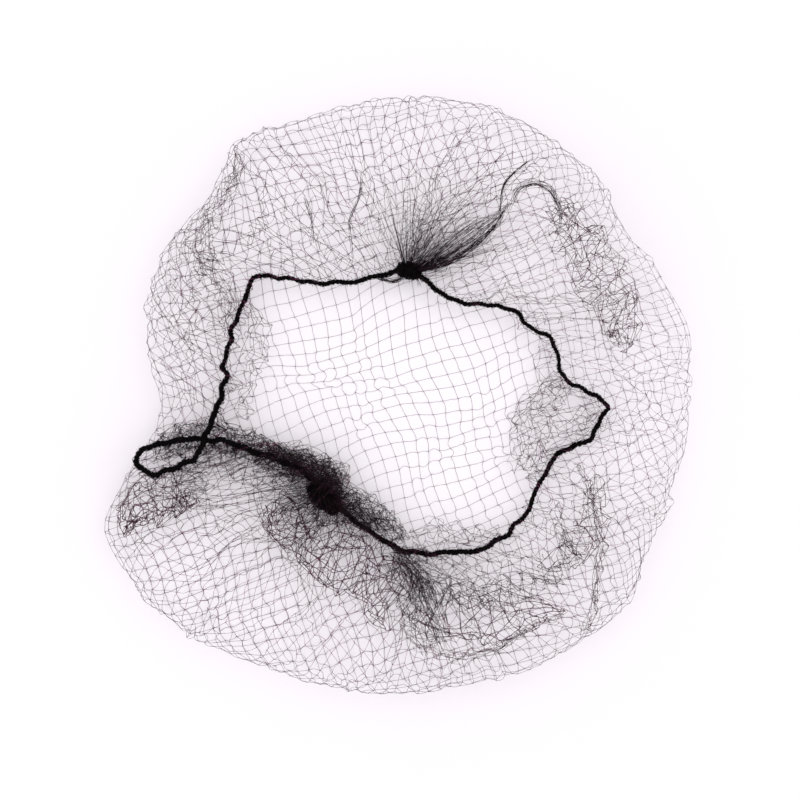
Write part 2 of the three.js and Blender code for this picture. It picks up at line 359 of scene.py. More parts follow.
LIGHT_RUFFLES = named_rows(
    "name layers strands thick along across turn stray points",
    (
        "net under the twisted loop", 1, 2, 1, 1.15, 1.2, 40, 0.5,
        [(-84, -28, 3), (-76, -25.5, 4.5), (-64, -23, 5.5), (-54, -25.5, 4)],
    ),
    (
        "net in the right tip", 1.4, 1, 1, 1.2, 1.2, 25, 0.5,
        [(71, -4.5, 1.2), (65, -7, 5.4), (57.5, -8, 8.5), (51, -9, 8)],
    ),
    (
        "net beside the lower knot", 1, 2, 1, 1.0, 1.2, 30, 0.5,
        [(-67, -19, 4), (-58, -22, 6.5), (-50, -27, 7), (-45, -34, 5)],
    ),
    (
        "slack net at the left", 1.4, 1, 1, 0.85, 0.85, 20, 0.4,
        [(-70, 66, 5), (-77, 56, 7), (-81, 42, 6.5), (-79, 22, 6), (-76.5, 8, 6), (-75, -5, 5.5)],
    ),
    (
        "crease at the lower right", 2, 2, 1, 1.1, 1.6, 30, 0.35,
        [
            (61.5, -24, 0.8), (66, -30.5, 1), (68, -39, 1.4), (71, -53, 1.6), (68.6, -64, 1.4),
            (67.8, -73, 1), (64.5, -84, 0.6),
        ],
    ),
    (
        "hook at the lower right", 3, 1, 1, 1.2, 1.8, 20, 0.5,
        [
            (56, -37, 0.8), (55.5, -44, 1), (57.5, -51, 1.2), (62.5, -56.5, 1.6), (66.5, -53, 1.2),
            (67.5, -47.5, 0.8),
        ],
    ),
    (
        "edge of the flap", 4, 1, 1, 1.1, 1.8, 20, 0.4,
        [(5.5, -87, 1), (18, -91, 1.4), (35, -87.5, 1.2), (46, -80, 1), (58, -75, 0.8)],
    ),
    (
        "fold across the flap", 2, 1, 1, 1.1, 1.8, 35, 0.4,
        [
            (2, -54.5, 1), (12.5, -56.5, 1.2), (27.5, -60.5, 1), (41, -67.5, 0.9), (50, -72, 0.8),
            (58, -75.5, 0.7),
        ],
    ),
    (
        "crease at the left", 3, 1, 1, 1.2, 1.8, 30, 0.5,
        [
            (-58, 86.5, 0.8), (-55.5, 78, 1), (-61.5, 66.5, 1.3), (-68.5, 58.5, 1.4), (-71.5, 51, 1.4),
            (-66, 42, 1.2), (-58, 30, 1),
        ],
    ),
    (
        "drawn net over the upper knot", 1, 1, 1, 0.7, 1.45, 45, 0.25,
        [(6, 47, 3), (15, 62, 8), (26, 77, 13), (37, 87, 15)],
    ),
    (
        "lace inside the bottom of the band", 2, 1, 1, 1.1, 1.5, 20, 0.7,
        [(3, -50.5, 2), (10.5, -49, 5.5), (21.5, -50, 5), (31, -50.5, 2.8), (36, -47, 2.2)],
    ),
    (
        "net under the lower knot", 2.7, 1, 1.75, 1.0, 1.1, 8, 0.4,
        [(-45, -36.5, 6), (-38, -45, 9), (-24.5, -54, 12), (-11, -62, 12.5), (3, -73, 12.5)],
    ),
    (
        "flap", 1.15, 1, 1.9, 0.87, 0.87, 12, 0.6,
        [
            (7, -72, 10), (13, -77, 13), (20, -79, 12.5), (30, -78.5, 10.5), (41, -76.5, 7.5),
            (50, -75.2, 3.8), (58, -75.8, 1.2),
        ],
    ),
    (
        "fold on the lobe", 2.4, 1, 1.75, 1.3, 1.3, 10, 0.8,
        [
            (-96.5, -48, 2.5), (-93.5, -42.5, 5), (-89.5, -38.5, 7.5), (-84, -35.5, 9.5),
            (-78, -32.5, 10), (-72, -31.5, 8),
        ],
    ),
    (
        "fold at the right", 2, 1, 1.35, 1.3, 1.3, 15, 0.7,
        [(54, 66, 4), (61, 56, 9), (68.5, 44, 10), (74.5, 33, 9), (79, 21, 6), (76.5, 15.5, 2)],
    ),
    (
        "fold at the left", 2, 1, 1, 1.1, 1.2, 35, 0.7,
        [
            (-56, 84, 1.5), (-55.5, 77, 2.5), (-61, 67.5, 4), (-67, 59.5, 4.5), (-70.5, 51, 5),
            (-66, 42.5, 6), (-61.5, 33, 6), (-63, 20, 5),
        ],
    ),
    (
        "patch inside the right tip", 2.5, 1, 1, 1.25, 1.3, 20, 0.7,
        [(60, 4.5, 3), (53, 0.5, 6), (47, -7, 7.5), (45, -17, 7), (45, -27, 4)],
    ),
    (
        "patch inside the left", 1.6, 1, 1, 1.3, 1.3, 5, 0.6,
        [(-54.5, 33, 1.5), (-50.5, 22, 6), (-54, 10, 6.5), (-57, -3, 6.5), (-57, -11, 5)],
    ),
    (
        "folds at the lower right", 1, 1, 1.6, 1.2, 1.2, 30, 0.7,
        [(71, -27, 4), (70, -39, 5.5), (67, -49, 7), (59, -57, 6), (48, -59, 4)],
    ),
)


class HairnetSettings(bpy.types.PropertyGroup):
    """Sizes and colours of the hairnet and its stage."""

    mesh_size: bpy.props.FloatProperty(
        name="Mesh", description="Side of one square mesh", default=4.4 * MM, unit="LENGTH"
    )
    mesh_turn: bpy.props.FloatProperty(
        name="Mesh turn",
        description="How the threads lie on the table",
        default=17 * DEG,
        subtype="ANGLE",
    )
    thread_radius: bpy.props.FloatProperty(
        name="Thread", description="Half the width of a net thread", default=0.075 * MM, unit="LENGTH"
    )
    crown_thin: bpy.props.FloatProperty(
        name="Crown thinness",
        description="How thin the stretched threads of the crown are, as a share",
        default=0.72,
        subtype="FACTOR",
    )
    thread_steps: bpy.props.IntProperty(
        name="Thread steps", description="Straight pieces between two crossings", default=4, min=1
    )
    relax_rounds: bpy.props.IntProperty(
        name="Relaxing",
        description="Rounds that let the threads take their own length",
        default=50,
        min=0,
    )
    band_radius: bpy.props.FloatProperty(
        name="Band", description="Half the width of the covered elastic", default=1.1 * MM, unit="LENGTH"
    )
    wrap_pitch: bpy.props.FloatProperty(
        name="Wrap pitch",
        description="Length of band to a turn of its cover",
        default=2.6 * MM,
        unit="LENGTH",
    )
    hairs: bpy.props.IntProperty(
        name="Hairs", description="Loose thread ends that stand out of the band", default=2600, min=0
    )
    seed: bpy.props.IntProperty(name="Seed", description="Choice of the random wander", default=3)
    net_colour: bpy.props.FloatVectorProperty(
        name="Net colour",
        description="Single nylon threads, which let some light through",
        default=(0.15, 0.028, 0.09),
        subtype="COLOR",
    )
    crown_colour: bpy.props.FloatVectorProperty(
        name="Crown colour",
        description="Single nylon threads stretched thin in the crown",
        default=(0.085, 0.04, 0.065),
        subtype="COLOR",
    )
    # Bunched threads are the net's own nylon: their much darker colour is painted shade between threads
    # lying close.
    bunch_shade_colour: bpy.props.FloatVectorProperty(
        name="Bunch colour",
        description="Nylon threads lying close",
        default=(0.0095, 0.0032, 0.0058),
        subtype="COLOR",
    )
    # Threads in a few layers are the same nylon, painted darker than single threads with painted shade
    # among the layers.
    fold_shade_colour: bpy.props.FloatVectorProperty(
        name="Fold colour",
        description="Nylon threads in a few layers",
        default=(0.05, 0.011, 0.028),
        subtype="COLOR",
    )
    band_colour: bpy.props.FloatVectorProperty(
        name="Band colour",
        description="Cover of the elastic",
        default=(0.0014, 0.0009, 0.0011),
        subtype="COLOR",
    )
    table_colour: bpy.props.FloatVectorProperty(
        name="Table colour",
        description="Pale surface under it",
        default=(0.91, 0.872, 0.913),
        subtype="COLOR",
    )
    view_width: bpy.props.FloatProperty(
        name="View width", description="Width of table that the camera sees", default=0.28, unit="LENGTH"
    )
    view_height: bpy.props.FloatProperty(
        name="View height", description="Camera above the table", default=1.0, unit="LENGTH"
    )


def settings():
    return bpy.context.scene.hairnet


# Curves through tables


def hermite(knots, values, slopes, at):
    """Value of a piecewise cubic with the slopes given at its knots."""
    i = np.clip(np.searchsorted(knots, at, side="right") - 1, 0, len(knots) - 2)
    width = knots[i + 1] - knots[i]
    t = (at - knots[i]) / width
    rise = (values[i + 1] - values[i]) * t * t * (3 - 2 * t)
    return values[i] + rise + width * t * (1 - t) * (slopes[i] * (1 - t) - slopes[i + 1] * t)


def round_table(rows, column):
    """A smooth closed function of angle through one column of a table with a row for each direction."""
    deg = np.array([row["deg"] for row in rows], dtype=float)
    value = np.array([row[column] for row in rows], dtype=float)
    knots = np.concatenate([deg - 360, deg, deg + 360])
    values = np.tile(value, 3)
    slopes = np.zeros_like(values)
    slopes[1:-1] = (values[2:] - values[:-2]) / (knots[2:] - knots[:-2])
    return lambda angle: hermite(knots, values, slopes, np.mod(angle / DEG, 360))


def gather_map():
    """Direction on the band for a direction on the flat net."""
    net = np.array([row["net"] for row in GATHERS], dtype=float)
    band = np.array([row["band"] for row in GATHERS], dtype=float)
    knots = np.concatenate([net - 360, net, net + 360])
    values = np.concatenate([band - 360, band, band + 360])
    rates = np.diff(values) / np.diff(knots)
    slopes = np.ones_like(values)
    slopes[1:-1] = np.where(rates[1:] * rates[:-1] > 0, (rates[1:] + rates[:-1]) / 2, 0)
    return lambda angle: DEG * hermite(knots, values, slopes, np.mod(angle / DEG, 360))


def band_path(steps_per_row):
    """Points along the closed band, with steps spaced by the square root of each row's length."""
    rows = np.array(BAND_ROUTE, dtype=float)
    before, here, there, after = (np.roll(rows, shift, axis=0) for shift in (1, 0, -1, -2))
    span_in, span, span_out = (
        np.sqrt(np.linalg.norm(q - p, axis=1))[:, None]
        for p, q in ((before, here), (here, there), (there, after))
    )
    leave = (here - before) / span_in - (there - before) / (span_in + span) + (there - here) / span
    reach = (there - here) / span - (after - here) / (span + span_out) + (after - there) / span_out
    points = []
    for step in range(steps_per_row):
        t = step / steps_per_row
        rise = (there - here) * t * t * (3 - 2 * t)
        points.append(here + rise + span * t * (1 - t) * (leave * (1 - t) - reach * t))
    return np.stack(points, axis=1).reshape(-1, 3)


def ring_radius():
    """Distance of the band's main ring from the middle, by direction."""
    ring = [point for point in BAND_ROUTE if point[0] > LOOP_LEFT_OF]
    rows = [
        {"deg": math.degrees(math.atan2(y, x)) % 360, "ring": math.hypot(x, y)}
        for x, y, _ in ring
    ]
    return round_table(sorted(rows, key=lambda row: row["deg"]), "ring")


REACH = round_table(RIM, "reach")
CREST = round_table(RIM, "crest")
FOLD_OUTER = round_table(FOLDS, "outer")
FOLD_INNER = round_table(FOLDS, "inner")
FOLD_BULGE = round_table(FOLDS, "bulge")
FOLD_TUCK = round_table(FOLDS, "tuck")
RING = ring_radius()
GATHER = gather_map()


def ease(t):
    return t * t * (3 - 2 * t)


def bell(t):
    return np.exp(-t * t)


def around(angle):
    """The same angle between minus and plus half a turn."""
    return angle - FULL_TURN * np.round(angle / FULL_TURN)


def polar(radius, angle):
    return np.stack([radius * np.cos(angle), radius * np.sin(angle)], axis=-1)


# The net's form


def band_edge(angle):
    """Point of the band, in plan, that the flat net's direction is tied to."""
    on_band = GATHER(angle)
    return polar(RING(on_band), on_band)


def folded(along, turns):
    """Share of the way to the band, and layer, of a net that runs from each turning share to the next."""
    share = np.zeros_like(along)
    layer = np.zeros_like(along)
    passed = np.zeros_like(along)
    for here, there in zip(turns[:-1], turns[1:]):
        run = np.abs(there - here)
        part = np.clip(along - passed, 0, run)
        share += np.sign(there - here) * part
        passed = passed + run
    for index, turn in enumerate(turns[1:-1]):
        reached = sum(np.abs(q - p) for p, q in zip(turns[: index + 1], turns[1 : index + 2]))
        depth = np.minimum(np.abs(turn - turns[index]), np.abs(turns[index + 2] - turn))
        turned = np.clip((along - reached + LAYER_TURN / 2) / LAYER_TURN, 0, 1)
        layer += turned * np.clip(depth / FOLD_DEPTH, 0, 1)
    return share, layer


def level_on_top(crest, share):
    """Height of the top between the rim's crest and the band."""
    return crest + (BAND_LEVEL - crest) * ease(np.clip(share, 0, 1))


def lay_net(x, y):
    """Where points of the flat net lie, with how far out each is and how far the net reaches that way."""
    angle = np.arctan2(y, x)
    out = np.hypot(x, y)
    crown = REACH(angle) - RIM_TURN
    crest = CREST(angle)
    turn_length = math.pi * np.sqrt((RIM_TURN**2 + (crest / 2) ** 2) / 2)
    edge = band_edge(angle)
    start = polar(crown, angle)
    top_length = np.linalg.norm(edge - start, axis=-1)

    nearest_rim, nearest_band = 0.02, 0.98
    outer = np.clip(FOLD_OUTER(angle), nearest_rim, nearest_band)
    inner = np.maximum(FOLD_INNER(angle), outer)
    bulge = np.maximum(FOLD_BULGE(angle), 0)
    tuck = np.maximum(FOLD_TUCK(angle), 0)
    nothing = np.zeros_like(outer)
    back_in = 1 + np.where(tuck > 0, TUCKED_BULGE, 0) * bulge
    turns = [nothing, inner, outer, 1 + bulge, 1 - tuck, back_in, nothing + 1]
    whole = crown + turn_length + top_length * sum(np.abs(q - p) for p, q in zip(turns[:-1], turns[1:]))
    share, layer = folded(np.maximum(out - crown - turn_length, 0) / top_length, turns)

    turn = math.pi * np.clip((out - crown) / turn_length, 0, 1)
    side = polar(np.minimum(out, crown) + RIM_TURN * np.sin(turn), angle)
    top = start + (edge - start) * share[..., None]
    on_top = out > crown + turn_length
    inside_band = np.clip(share - 1, 0, None)
    level = level_on_top(crest, share) - SINK * top_length * inside_band + LAYER_RISE * layer
    plan = np.where(on_top[..., None], top, side)
    height = np.where(on_top, level, crest / 2 * (1 - np.cos(turn)))
    placed = np.concatenate([plan, height[..., None]], axis=-1)
    over = out - crown - turn_length
    return {"place": placed, "out": out, "whole": whole, "on_top": on_top, "angle": angle, "over": over}


def wander(rng, a, b, sizes):
    """A smooth random field over the flat net, of the sizes and wavelengths given."""
    count = 5
    whole = 0
    for size, wave in sizes:
        field = np.zeros(a.shape)
        for _ in range(count):
            p, q = rng.normal(size=2) / wave
            field += np.sin(p * a + q * b + rng.uniform(0, FULL_TURN))
        whole = whole + size * field / math.sqrt(count / 2)
    return whole


def relax(place, target, held, inside, on_top, rounds, mesh):
    """Let the threads take their own length, a little against squeezing, near where they were laid."""
    keep_top, keep_crown = 0.03, 0.15
    firm_long, firm_short = 0.8, 0.35
    free = np.where(held, 0.0, 1.0)
    pull = np.where(on_top, keep_top, keep_crown)[..., None] * free[..., None]
    for _ in range(rounds):
        for across in (False, True):
            points = np.swapaxes(place, 0, 1) if across else place
            loose = free.T if across else free
            real = inside.T if across else inside
            for first in (0, 1):
                count = (len(points) - first) // 2
                one = slice(first, first + 2 * count, 2)
                two = slice(first + 1, first + 1 + 2 * count, 2)
                gap = points[two] - points[one]
                length = np.linalg.norm(gap, axis=-1) + TINY
                firm = np.where(length > mesh, firm_long, firm_short) * (real[one] & real[two])
                share = (1 - mesh / length) * firm / (loose[one] + loose[two] + TINY)
                move = gap * share[..., None]
                points[one] += move * loose[one][..., None]
                points[two] -= move * loose[two][..., None]
        place += (target - place) * pull
        place[..., 2] = np.clip(place[..., 2], LOWEST, HIGHEST)
    return place


def slack_at(place, on_top):
    """How slack the net is, from nearly none where the top is drawn towards a knot to 1."""
    slack = np.ones(on_top.shape)
    for taut in TAUT:
        away = np.hypot(place[..., 0] - taut["x"], place[..., 1] - taut["y"])
        slack -= np.where(on_top, TAUT_SHARE * bell(away / taut["reach"]), 0)
    return slack


def layers_at(place, inside, mesh):
    """How many layers of net lie at each crossing, counted on a coarse grid in plan."""
    cell = 1.4 * mesh
    column = np.floor(place[..., :2] / cell).astype(int)
    column -= column.min(axis=(0, 1))
    count = np.zeros(column.max(axis=(0, 1)) + 1)
    np.add.at(count, tuple(column[inside].T), (mesh / cell) ** 2)
    return count[column[..., 0], column[..., 1]]


def pinched(x, y):
    """Points of the flat net after its threads were drawn together along the pinches."""
    for pinch in PINCHES:
        c, s = math.cos(pinch["turn"] * DEG), math.sin(pinch["turn"] * DEG)
        along = c * (x - pinch["x"]) + s * (y - pinch["y"])
        off = c * (y - pinch["y"]) - s * (x - pinch["x"])
        draw = pinch["draw"] * off * bell(off / pinch["width"]) * bell(along / pinch["reach"])
        x, y = x + s * draw, y - c * draw
    return x, y


def make_lattice():
    """The crossings of the net's threads, laid, folded and relaxed."""
    chosen = settings()
    rng = np.random.default_rng(chosen.seed)
    mesh = chosen.mesh_size / MM
    count = int(FLAT_REACH / mesh)
    lines = np.arange(-count, count + 1) * mesh
    a, b = np.meshgrid(lines, lines, indexing="ij")
    flat_a, flat_b = (
        along + wander(rng, a, b, FLAT_WAVES) + rng.normal(0, FLAT_STRAY, a.shape) for along in (a, b)
    )
    c, s = math.cos(chosen.mesh_turn), math.sin(chosen.mesh_turn)
    laid = lay_net(*pinched(c * flat_a - s * flat_b, s * flat_a + c * flat_b))
    inside = laid["out"] <= laid["whole"]
    held = (laid["out"] > laid["whole"] - mesh) | ~inside
    slack = slack_at(laid["place"], laid["on_top"])
    rough = roughness(laid) * slack
    target = laid["place"].copy()
    for axis, lift in enumerate((1, 1, 1.2)):
        stray = wander(rng, a, b, TOP_WAVES)
        target[..., axis] += np.where(held, 0, stray * rough * lift)
    target[..., 2] = np.maximum(target[..., 2], LOWEST)
    place = relax(target.copy(), target, held, inside, laid["on_top"], chosen.relax_rounds, mesh)
    squeeze = np.zeros(a.shape)
    for axis in (0, 1):
        gap = np.diff(place, axis=axis, append=place.take([-1], axis=axis))
        squeeze += np.clip(1 - np.linalg.norm(gap, axis=-1) / mesh, 0, MOST_SQUEEZED) / 2
    loose = np.where(held | ~laid["on_top"], 0, CRUMPLE * mesh * squeeze * slack**2)
    place = place + rng.normal(size=place.shape) * loose[..., None]
    place[..., 2] = np.clip(place[..., 2], LOWEST, HIGHEST)
    layers = layers_at(place, inside, mesh)
    return {**laid, "place": place, "inside": inside, "slack": slack, "layers": layers}


def roughness(laid):
    """How rough the laid net is, as a share: still in the crown's middle, fully rough past the rim."""
    crown, growth = 0.3, 20
    middle, stillest = 50, 0.15
    rough = np.where(laid["on_top"], np.clip(crown + laid["over"] / growth, 0, 1), crown)
    return rough * np.clip((laid["out"] - middle) / middle, stillest, 1)


# Threads


def thread_through(rng, points, steps, mesh, loose=1.0):
    """A smooth thread through its crossings, bowed where it is slack."""
    least_square, bowed, kinked = 0.02, 0.8, 0.05
    ends = np.concatenate([2 * points[:1] - points[1:2], points, 2 * points[-1:] - points[-2:-1]])
    before, here, there, after = ends[:-3], ends[1:-2], ends[2:-1], ends[3:]
    chord = there - here
    length = np.linalg.norm(chord, axis=1)
    # The rise of a flat arc follows from its own length and its chord.
    rise = np.sqrt(np.clip((SPARE * mesh) ** 2 - length**2, least_square, None) * 3 / 16)
    bow = rng.normal(size=chord.shape)
    bow -= chord * ((bow * chord).sum(axis=1) / (length**2 + TINY))[:, None]
    bow *= (bowed * loose * rise / (np.linalg.norm(bow, axis=1) + TINY))[:, None]
    pieces = []
    for step in range(steps):
        t = step / steps
        curve = 2 * here + (there - before) * t + (2 * before - 5 * here + 4 * there - after) * t**2
        curve += (3 * here - before - 3 * there + after) * t**3
        kink = rng.normal(0, kinked, chord.shape) * (step > 0)
        straight = here + chord * t
        pieces.append(straight + ROUND * (curve / 2 - straight) + bow * math.sin(math.pi * t) + kink)
    spun = np.concatenate([np.stack(pieces, axis=1).reshape(-1, 3), points[-1:]])
    spun[:, 2] = np.maximum(spun[:, 2], LOWEST)
    return spun


def thick_at_crossings(count, steps):
    """Share of a thread's width at each of its points: thick where it is tied, thin between."""
    between, tied = 0.82, 0.5
    return between + tied * np.abs(np.cos(math.pi * np.arange(count) / steps)) ** 4


def crown_fade(out):
    """How far the crown's stretching has faded at a distance from the middle, from 0 to 1."""
    return np.clip((out - CROWN_EDGE) / CROWN_FADE, 0, 1)


def crown_width(out):
    """Share of its full width that a thread has at a distance from the middle."""
    thinnest = settings().crown_thin
    return thinnest + (1 - thinnest) * crown_fade(out)


def runs(real):
    """The unbroken stretches of a row in which it is real."""
    stretch = np.flatnonzero(real)
    return np.split(stretch, np.flatnonzero(np.diff(stretch) > 1) + 1)


def net_threads(lattice):
    """Threads of the net's pieces as points and half widths, from the crown to the gathered net."""
    chosen = settings()
    rng = np.random.default_rng(chosen.seed + 1)
    mesh = chosen.mesh_size / MM
    steps = chosen.thread_steps
    names = ("net_crown", "net_top_warp", "net_top_weft", "net_layered", "net_gathered")
    threads = {name: [] for name in names}
    for name, turn in (("net_top_warp", False), ("net_top_weft", True)):
        grid = {
            key: np.swapaxes(lattice[key], 0, 1) if turn else lattice[key]
            for key in ("place", "inside", "on_top", "angle", "out", "slack", "layers")
        }
        for row in range(len(grid["inside"])):
            for run in runs(grid["inside"][row]):
                if len(run) < 3:
                    continue
                here = {key: grid[key][row, run] for key in grid}
                ties = band_edge(here["angle"][[0, -1]])
                ties = np.column_stack([ties, np.full(2, BAND_LEVEL)])
                points = np.concatenate([ties[:1], here["place"], ties[1:]])
                loose = np.concatenate([here["slack"][:1], here["slack"]])
                spun = thread_through(rng, points, steps, mesh, loose)
                homes = np.where(here["on_top"], name, "net_crown")
                homes = np.where(here["layers"] > LAYERED, "net_layered", homes)
                homes = np.where(here["layers"] > GATHERED, "net_gathered", homes)
                homes = np.concatenate([["net_gathered"], homes[:-1], ["net_gathered"] * 2])
                width = chosen.thread_radius / MM * crown_width(here["out"])
                drawn = bell(around(here["angle"] - STRETCHED_AT) / STRETCHED_SPREAD)
                width = width * (1 - STRETCHED * crown_fade(here["out"]) * drawn)
                width = np.concatenate([width[:1], width, width[-1:]])
                width = np.interp(np.arange(len(spun)) / steps, np.arange(len(width)), width)
                width = width * thick_at_crossings(len(spun), steps)
                cuts = np.flatnonzero(homes[1:] != homes[:-1])
                starts = np.concatenate([[0], cuts + 1])
                stops = np.concatenate([cuts + 1, [len(homes) - 1]])
                for start, stop in zip(starts, stops):
                    if stop == start:
                        continue
                    part = slice(start * steps, stop * steps + 1)
                    threads[homes[start]].append((spun[part], width[part]))
    return threads


def top_level(plan):
    """Height of the net's top at points in plan, falling off inside the band."""
    angle = np.arctan2(plan[..., 1], plan[..., 0])
    out = np.hypot(plan[..., 0], plan[..., 1])
    crown = REACH(angle) - RIM_TURN
    level = level_on_top(CREST(angle), (crown - out) / (crown - RING(angle)))
    past = np.clip((out - crown) / RIM_TURN, 0, 1)
    level = level * (1 + np.sqrt(1 - past**2)) / 2
    return level - SINK * np.clip(RING(angle) - out, 0, None)


def inside_rim(plan):
    """The points in plan, drawn in where they would stand out of the rim."""
    margin = 1
    angle = np.arctan2(plan[..., 1], plan[..., 0])
    out = np.hypot(plan[..., 0], plan[..., 1])
    return plan * np.minimum(1, (REACH(angle) - margin) / (out + TINY))[..., None]


def length_along(points):
    """Length along a line up to each of its points."""
    return np.concatenate([[0], np.cumsum(np.linalg.norm(np.diff(points, axis=0), axis=1))])


def ruffle_threads(ruffles):
    """Threads of folded strips of net."""
    chosen = settings()
    rng = np.random.default_rng(chosen.seed + 6)
    mesh = chosen.mesh_size / MM
    wave_along_strip, wave_across_strip, wave_up = ((1.2, 4),), ((0.12, 5),), ((0.8, 3),)
    rise, apart = 0.7, 0.3
    threads = []
    for ruffle in ruffles:
        marks = np.array(ruffle["points"], dtype=float)
        reach = length_along(marks[:, :2])
        wide = 2 * marks[:, 2].max() * ruffle["across"]
        long = reach[-1] * ruffle["along"]
        count = int((long + ruffle["layers"] * wide) / mesh)
        lines = np.arange(-count, count + 1) * mesh
        a, b = np.meshgrid(lines, lines, indexing="ij")
        c, s = math.cos(ruffle["turn"] * DEG), math.sin(ruffle["turn"] * DEG)
        u = c * a - s * b + long / 2
        v = s * a + c * b + ruffle["layers"] * wide / 2
        inside = (u > 0) & (u < long) & (v > 0) & (v < ruffle["layers"] * wide)
        at = u / ruffle["along"] + wander(rng, a, b, wave_along_strip)
        cross = v / wide + wander(rng, a, b, wave_across_strip)
        across = 1 - np.abs(np.mod(cross, 2) - 1) - 0.5
        place = inside_rim(along_line(marks, reach, at, across))
        height = top_level(place) + rise * cross + wander(rng, a, b, wave_up)
        place = np.concatenate([place, height[..., None]], axis=-1)
        place += rng.normal(0, ruffle["stray"], place.shape)
        for _ in range(ruffle["strands"]):
            near = place + rng.normal(0, apart, place.shape)
            near[..., 2] = np.clip(near[..., 2], LOWEST, HIGHEST)
            for grid, real in ((near, inside), (np.swapaxes(near, 0, 1), inside.T)):
                threads += lattice_lines(rng, grid, real, ruffle["thick"])
    return threads


def along_line(marks, reach, at, across):
    """Points in plan at a length along a line and a share of the strip's width across it."""
    ahead = 2.0
    inner = np.clip(at, 0, reach[-1])
    x, y, half = (np.interp(inner, reach, marks[:, column]) for column in range(3))
    dx, dy = (
        np.interp(inner + ahead, reach, marks[:, axis]) - np.interp(inner - ahead, reach, marks[:, axis])
        for axis in (0, 1)
    )
    size = np.hypot(dx, dy) + TINY
    side, past = across * 2 * half, at - inner
    return np.stack([x + (dx * past - dy * side) / size, y + (dy * past + dx * side) / size], axis=-1)


def lattice_lines(rng, grid, real, thick):
    """Spun threads along the rows of a lattice, where it is real."""
    chosen = settings()
    mesh = chosen.mesh_size / MM
    steps = chosen.thread_steps
    threads = []
    for row in range(len(real)):
        for run in runs(real[row]):
            if len(run) > 1:
                spun = thread_through(rng, grid[row, run], steps, mesh)
                width = thick * chosen.thread_radius / MM * thick_at_crossings(len(spun), steps)
                threads.append((spun, width))
    return threads


def crease_threads():
    """Threads bunched along the creases, at the height of the top there."""
    rng = np.random.default_rng(settings().seed + 5)
    radius = settings().thread_radius / MM
    step, fewest, smoothing = 1.2, 6, 3
    lowest, side_sway, up_sway = 0.2, 0.5, 0.3
    under, over = -0.5, 1.5
    towards_ends = np.array([2, 0.5])
    threads = []
    for crease in CREASES:
        marks = np.array(crease["points"], dtype=float)
        reach = length_along(marks)
        for _ in range(crease["threads"]):
            first, last = np.sort(rng.uniform(0, 1, 2) ** towards_ends) * reach[-1]
            at = np.linspace(first, last, max(fewest, int((last - first) / step)))
            plan = np.stack([np.interp(at, reach, marks[:, axis]) for axis in (0, 1)], axis=1)
            spread = crease["belly"] * rng.uniform() ** 2
            plan += spread * np.sin(math.pi * at / reach[-1])[:, None] * left_of(marks)
            for _ in range(smoothing):
                plan[1:-1] = (plan[:-2] + 2 * plan[1:-1] + plan[2:]) / 4
            loose = crease["loose"] * wave_along(rng, len(at), 2)
            plan = plan + rng.normal(0, side_sway * crease["loose"], 2) + side_sway * loose
            height = top_level(plan) + rng.uniform(under, over) + up_sway * loose[:, 0]
            threads.append((np.column_stack([plan, np.maximum(height, lowest)]), radius))
    return threads


def left_of(marks):
    """Direction in plan to the left of the line between a crease's two ends."""
    along = marks[-1] - marks[0]
    return np.array([-along[1], along[0]]) / np.linalg.norm(along)


def wave_along(rng, count, columns):
    """Smooth random waves along a thread, about one unit high."""
    window = 9
    rough = rng.normal(size=(count + window - 1, columns))
    kernel = np.ones(window) / math.sqrt(window)
    return np.stack([np.convolve(rough[:, c], kernel, "valid") for c in range(columns)], axis=1)


def smooth_noise(rng, count, window, scale):
    """Random numbers along a thread: the sums of windows of them over a scale."""
    return np.convolve(rng.normal(size=count + window - 1), np.ones(window) / scale, "valid")


# Meshes and geometry nodes


def line_object(name, threads, closed=False):
    """An object of bare lines in metres, with each point's half width."""
    counts = [len(points) for points, _ in threads]
    points = np.concatenate([points for points, _ in threads]) * MM
    widths = np.concatenate([np.broadcast_to(width, len(p)) for p, width in threads]) * MM
    firsts = np.concatenate([[0], np.cumsum(counts)[:-1]])
    edges = []
    for first, count in zip(firsts, counts):
        index = first + np.arange(count)
        edges.append(np.stack([index[:-1], index[1:]], axis=1))
        if closed:
            edges.append(np.array([[index[-1], index[0]]]))
    edges = np.concatenate(edges)
    mesh = bpy.data.meshes.new(name)
    mesh.vertices.add(len(points))
    mesh.vertices.foreach_set("co", points.astype(np.float32).ravel())
    mesh.edges.add(len(edges))
    mesh.edges.foreach_set("vertices", edges.astype(np.int32).ravel())
    thickness = mesh.attributes.new("thickness", "FLOAT", "POINT")
    thickness.data.foreach_set("value", widths.astype(np.float32))
    made = bpy.data.objects.new(name, mesh)
    bpy.context.scene.collection.objects.link(made)
    return made


def add_node(tree, kind, **values):
    """A new node of a tree, with values for its inputs, whose names have underscores for spaces here."""
    node = tree.nodes.new(kind)
    for label, value in values.items():
        node.inputs[label.replace("_", " ")].default_value = value
    return node


def join(tree, *links):
    """Link a tree's nodes, each link as a node, its output, the next node and that one's input."""
    for source, output, target, socket in links:
        tree.links.new(source.outputs[output], target.inputs[socket])


def new_tree(name, number):
    """A geometry tree that takes a named whole number and a material, and its input and output nodes."""
    tree = bpy.data.node_groups.new(name, "GeometryNodeTree")
    for label, kind in (("Geometry", "Geometry"), (number, "Int"), ("Material", "Material")):
        tree.interface.new_socket(label, in_out="INPUT", socket_type=f"NodeSocket{kind}")
    tree.interface.new_socket("Geometry", in_out="OUTPUT", socket_type="NodeSocketGeometry")
    return tree, tree.nodes.new("NodeGroupInput"), tree.nodes.new("NodeGroupOutput")


def finish_tree(tree, made, given, result):
    """End a tree, after the node and output given, in plain geometry with its material."""
    real = add_node(tree, "GeometryNodeRealizeInstances")
    finish = add_node(tree, "GeometryNodeSetMaterial")
    join(
        tree,
        (*made, real, "Geometry"),
        (real, "Geometry", finish, "Geometry"),
        (given, "Material", finish, "Material"),
        (finish, "Geometry", result, "Geometry"),
    )


